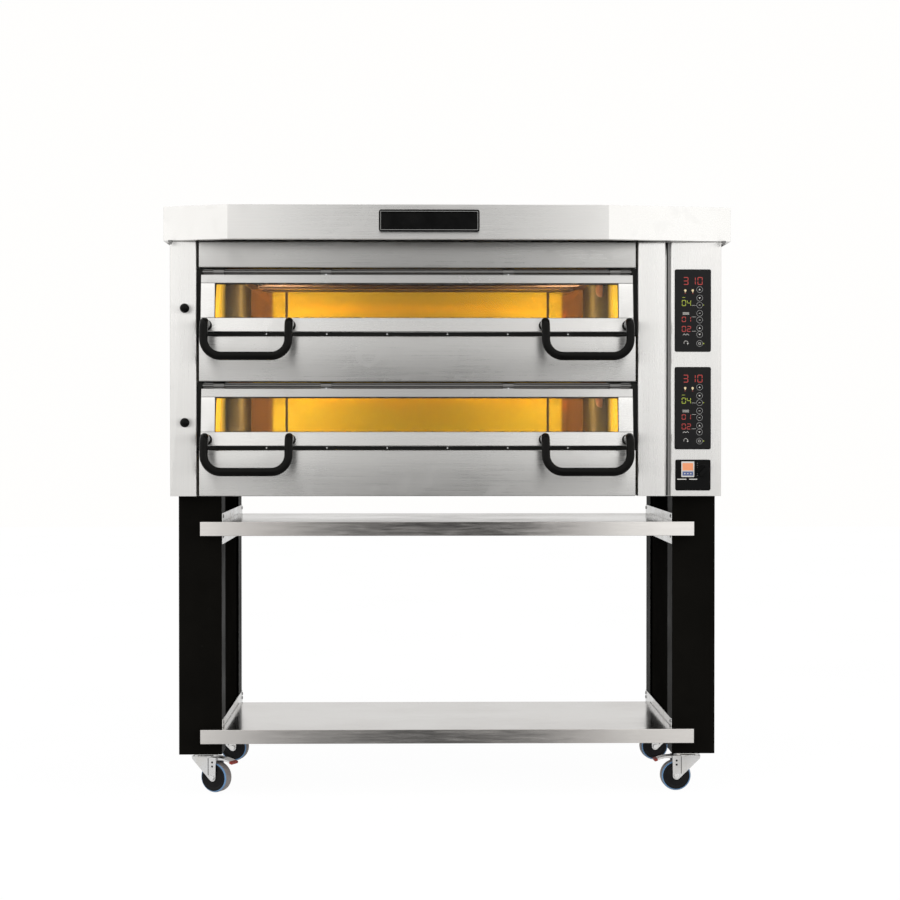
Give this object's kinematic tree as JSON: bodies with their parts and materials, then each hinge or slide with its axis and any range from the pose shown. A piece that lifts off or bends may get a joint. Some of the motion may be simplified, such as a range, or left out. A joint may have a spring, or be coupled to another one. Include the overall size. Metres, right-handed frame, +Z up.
{
  "type": "deck pizza oven",
  "caption": "Twin-deck electric pizza oven in brushed stainless steel with glazed doors, on a black castor stand with shelves.",
  "frame": {"origin": "on the floor, under the middle of the oven's bounding box", "axes": "+X to the right of someone facing the doors, +Y towards the back, +Z up"},
  "size_m": [1.484, 0.9699, 1.546],
  "materials": {
    "brushed_steel": "fine satin-brushed stainless sheet",
    "chamber_steel": "heat-tinted stainless sheet",
    "hearth_stone": "baked cordierite, matt",
    "mineral_wool": "loose pressed fibre",
    "element_steel": "dark oxidised tube",
    "lamp_glass": "heat-proof lamp cover",
    "clear_glass": "clear heat-proof glass",
    "black_handle": "semi-gloss black coating",
    "black_plastic": "black moulded plastic",
    "black_glass": "black printed control glass",
    "hinge_steel": "ground steel rod",
    "black_powder_coat": "fine matt powder coat",
    "polished_steel": "polished stainless sheet",
    "zinc_plate": "bright galvanised sheet",
    "castor_zinc": "bright zinc plating",
    "castor_rubber": "blue elastic tyre on a black hub"
  },
  "bodies": {
    "root": {"hood_front": "brushed_steel", "hood_cover": "brushed_steel", "left_side_panel": "brushed_steel", "right_side_panel": "brushed_steel", "back_panel": "brushed_steel", "base_pan": "brushed_steel", "left_front_column": "brushed_steel", "mid_column": "brushed_steel", "control_box_cover": "brushed_steel", "top_fascia": "brushed_steel", "middle_fascia": "brushed_steel", "bottom_fascia": "brushed_steel", "upper_chamber": "chamber_steel", "lower_chamber": "chamber_steel", "upper_hearth_stone": "hearth_stone", "lower_hearth_stone": "hearth_stone", "insulation": "mineral_wool", "upper_top_element": "element_steel", "lower_top_element": "element_steel", "upper_oven_lamp": "lamp_glass", "lower_oven_lamp": "lamp_glass", "name_plate": "black_plastic", "switch_plate": "black_plastic", "cable_gland": "black_plastic", "upper_control_glass": "black_glass", "lower_control_glass": "black_glass", "upper_hinge_rod": "hinge_steel", "lower_hinge_rod": "hinge_steel", "left_front_leg": "black_powder_coat", "left_rear_leg": "black_powder_coat", "right_front_leg": "black_powder_coat", "right_rear_leg": "black_powder_coat", "left_side_infill": "black_powder_coat", "right_side_infill": "black_powder_coat", "upper_shelf": "polished_steel", "lower_shelf": "polished_steel", "upper_shelf_frame": "zinc_plate", "lower_shelf_frame": "zinc_plate"},
    "upper_door": {"upper_door_frame": "brushed_steel", "upper_door_glass": "clear_glass", "upper_door_left_handle": "black_handle", "upper_door_right_handle": "black_handle"},
    "lower_door": {"lower_door_frame": "brushed_steel", "lower_door_glass": "clear_glass", "lower_door_left_handle": "black_handle", "lower_door_right_handle": "black_handle"},
    "upper_damper": {"upper_damper_knob": "black_handle"},
    "lower_damper": {"lower_damper_knob": "black_handle"},
    "main_switch": {"main_switch_knob": "black_plastic"},
    "front_left_swivel": {"front_left_castor_fork": "castor_zinc"},
    "front_left_roller": {"front_left_wheel": "castor_rubber"},
    "front_left_brake": {"front_left_brake_lever": "castor_zinc"},
    "front_right_swivel": {"front_right_castor_fork": "castor_zinc"},
    "front_right_roller": {"front_right_wheel": "castor_rubber"},
    "front_right_brake": {"front_right_brake_lever": "castor_zinc"},
    "rear_left_swivel": {"rear_left_castor_fork": "castor_zinc"},
    "rear_left_roller": {"rear_left_wheel": "castor_rubber"},
    "rear_right_swivel": {"rear_right_castor_fork": "castor_zinc"},
    "rear_right_roller": {"rear_right_wheel": "castor_rubber"}
  },
  "joints": [
    {"name": "upper_door_hinge", "type": "hinge", "parent": "root", "child": "upper_door", "pos_m": [-0.07935, -0.3622, 1.378], "axis": [-1, 0, 0], "range_deg": [0, 82.5]},
    {"name": "lower_door_hinge", "type": "hinge", "parent": "root", "child": "lower_door", "pos_m": [-0.07935, -0.3622, 1.08], "axis": [-1, 0, 0], "range_deg": [0, 82.5]},
    {"name": "upper_damper_pull", "type": "slide", "parent": "root", "child": "upper_damper", "axis": [0, -1, 0], "range_m": [0, 0.06]},
    {"name": "lower_damper_pull", "type": "slide", "parent": "root", "child": "lower_damper", "axis": [0, -1, 0], "range_m": [0, 0.06]},
    {"name": "main_switch_turn", "type": "hinge", "parent": "root", "child": "main_switch", "pos_m": [0.6705, -0.3762, 0.857], "axis": [0, -1, 0], "range_deg": [0, 90]},
    {"name": "front_left_swivel_turn", "type": "hinge", "parent": "root", "child": "front_left_swivel", "pos_m": [-0.6415, -0.2742, 0.1], "axis": [0, 0, 1], "continuous": true},
    {"name": "front_left_wheel_roll", "type": "hinge", "parent": "front_left_swivel", "child": "front_left_roller", "pos_m": [-0.61477, -0.28782, 0.04], "axis": [0.454, 0.891, 0], "continuous": true},
    {"name": "front_left_brake_press", "type": "hinge", "parent": "front_left_swivel", "child": "front_left_brake", "pos_m": [-0.60185, -0.2944, 0.09], "axis": [0.454, 0.891, 0], "range_deg": [0, 12]},
    {"name": "front_right_swivel_turn", "type": "hinge", "parent": "root", "child": "front_right_swivel", "pos_m": [0.6415, -0.2742, 0.1], "axis": [0, 0, 1], "continuous": true},
    {"name": "front_right_wheel_roll", "type": "hinge", "parent": "front_right_swivel", "child": "front_right_roller", "pos_m": [0.61154, -0.27577, 0.04], "axis": [0.0523, -0.9986, 0], "continuous": true},
    {"name": "front_right_brake_press", "type": "hinge", "parent": "front_right_swivel", "child": "front_right_brake", "pos_m": [0.59706, -0.27653, 0.09], "axis": [0.0523, -0.9986, 0], "range_deg": [0, 12]},
    {"name": "rear_left_swivel_turn", "type": "hinge", "parent": "root", "child": "rear_left_swivel", "pos_m": [-0.6415, 0.2218, 0.1], "axis": [0, 0, 1], "continuous": true},
    {"name": "rear_left_wheel_roll", "type": "hinge", "parent": "rear_left_swivel", "child": "rear_left_roller", "pos_m": [-0.61216, 0.21556, 0.04], "axis": [0.2079, 0.9781, 0], "continuous": true},
    {"name": "rear_right_swivel_turn", "type": "hinge", "parent": "root", "child": "rear_right_swivel", "pos_m": [0.6415, 0.2218, 0.1], "axis": [0, 0, 1], "continuous": true},
    {"name": "rear_right_wheel_roll", "type": "hinge", "parent": "rear_right_swivel", "child": "rear_right_roller", "pos_m": [0.61179, 0.21762, 0.04], "axis": [0.1392, -0.9903, 0], "continuous": true}
  ]
}
